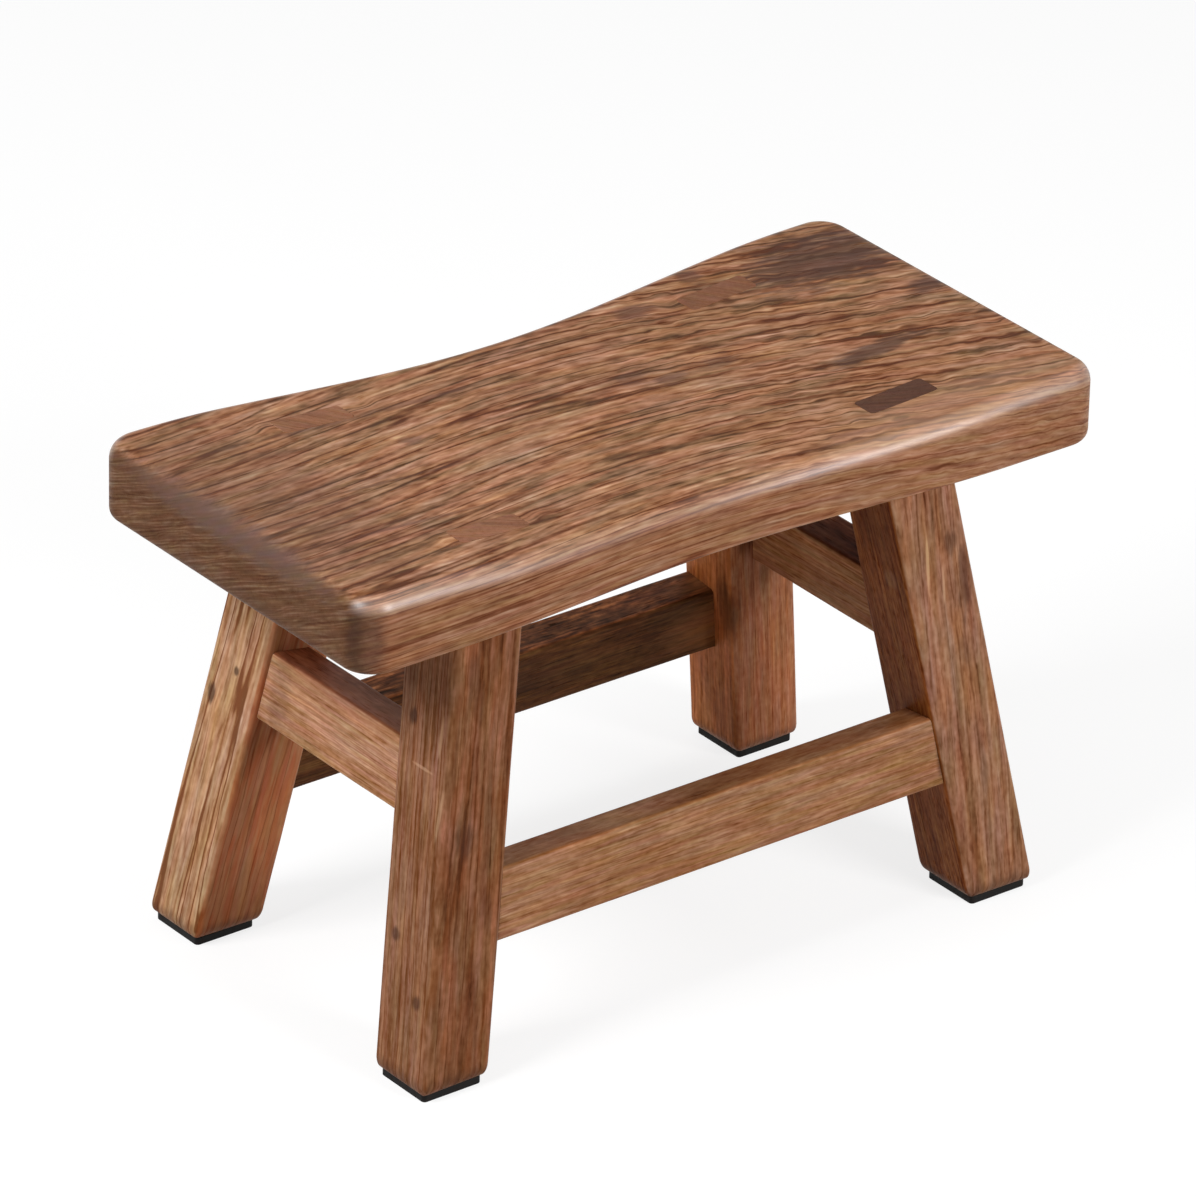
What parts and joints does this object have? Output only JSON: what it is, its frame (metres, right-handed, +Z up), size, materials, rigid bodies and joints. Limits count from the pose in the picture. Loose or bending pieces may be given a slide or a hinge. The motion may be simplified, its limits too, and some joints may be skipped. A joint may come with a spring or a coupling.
{
  "type": "stool",
  "caption": "Low wooden bath stool: dished and slightly waisted seat board on splayed legs that are tenoned through the seat and tied by long and short rails, with rubber foot pads.",
  "frame": {"origin": "centre of the footprint, on the floor under the foot pads", "axes": "+X along the seat, +Y across the seat towards the back, +Z up"},
  "size_m": [0.304, 0.1542, 0.188],
  "materials": {
    "seat_wood": "streaked brown hardwood, sanded, stained and sealed to a soft satin",
    "leg_wood": "red-brown hardwood, planed and sealed to a low satin",
    "rail_wood": "tan-brown hardwood, planed and sealed to a low satin",
    "pad_rubber": "matt black moulded rubber"
  },
  "bodies": {
    "root": {"seat": "seat_wood", "leg_front_left": "leg_wood", "leg_front_right": "leg_wood", "leg_back_left": "leg_wood", "leg_back_right": "leg_wood", "rail_front": "rail_wood", "rail_back": "rail_wood", "rail_left": "rail_wood", "rail_right": "rail_wood", "foot_pad_front_left": "pad_rubber", "foot_pad_front_right": "pad_rubber", "foot_pad_back_left": "pad_rubber", "foot_pad_back_right": "pad_rubber"}
  },
  "joints": []
}
